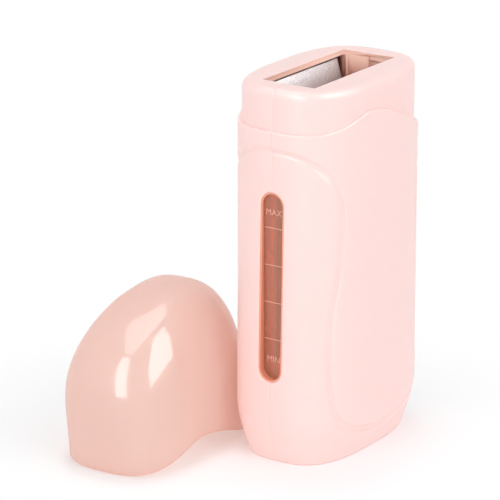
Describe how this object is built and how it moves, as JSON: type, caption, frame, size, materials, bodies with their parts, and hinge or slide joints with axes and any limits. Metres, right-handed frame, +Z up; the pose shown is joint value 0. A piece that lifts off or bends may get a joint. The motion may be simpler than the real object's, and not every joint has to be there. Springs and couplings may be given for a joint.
{
  "type": "wax warmer",
  "caption": "Upright cartridge wax warmer with a sight window in one narrow side, a heated well open at the top, and a translucent domed cap standing beside it.",
  "frame": {"origin": "middle of the housing's flat base", "axes": "+Z up, X across the two narrow sides with the sight window at -X, +Y towards the rear shell"},
  "size_m": [0.1274, 0.1029, 0.15],
  "materials": {
    "shell": "satin-gloss pink moulding",
    "cap": "translucent glossy pink",
    "well": "plain pink moulding",
    "window": "clear amber-pink strip",
    "cast_plate": "grained casting",
    "spring": "drawn wire",
    "zinc_steel": "zinc plated",
    "brass": "rolled sheet",
    "ceramic": "fired ceramic",
    "film": "amber film",
    "mica": "pressed mica board",
    "black_plastic": "fine texture",
    "white_nylon": "heat-proof nylon",
    "board": "solder mask",
    "lamp": "clear red resin",
    "bead": "lacquered bead",
    "lead_red": "insulated wire",
    "lead_blue": "insulated wire"
  },
  "bodies": {
    "root": {"front_shell": "shell", "rear_shell": "shell", "level_window": "window", "cartridge_well": "well", "heating_plate": "cast_plate", "heater_insulator": "film", "inner_electrode": "brass", "ptc_heater": "ceramic", "outer_electrode": "brass", "heater_backing": "mica", "heater_clamp": "zinc_steel", "thermostat": "black_plastic", "thermostat_clip": "zinc_steel", "thermal_fuse": "zinc_steel", "heat_shield": "mica", "plate_spring_lower": "spring", "plate_spring_upper": "spring", "circuit_board": "board", "indicator_lamp": "lamp", "lamp_resistor": "bead", "lamp_diode": "black_plastic", "power_inlet": "black_plastic", "inlet_pin_live": "brass", "inlet_pin_neutral": "brass", "clamp_screw_left": "zinc_steel", "shell_screw_left": "zinc_steel", "clamp_screw_right": "zinc_steel", "shell_screw_right": "zinc_steel", "clip_screw": "zinc_steel", "board_screw_left": "zinc_steel", "board_screw_right": "zinc_steel", "live_lead": "lead_red", "neutral_lead": "lead_blue", "fuse_lead": "lead_red", "heater_lead": "lead_red", "lamp_live_lead": "lead_red", "lamp_neutral_lead": "lead_blue"},
    "cap": {"cap": "cap"},
    "pressure_pad": {"pressure_plate": "white_nylon"}
  },
  "joints": [
    {"name": "cap_lift", "type": "slide", "parent": "root", "child": "cap", "axis": [0, 0, 1], "range_m": [0, 0.16]},
    {"name": "plate_press", "type": "slide", "parent": "root", "child": "pressure_pad", "axis": [0, -1, 0], "range_m": [0, 0.0015], "stiffness_N_per_m": 1500, "springref_m": -0.002, "deforming": ["plate_spring_lower", "plate_spring_upper"]}
  ]
}
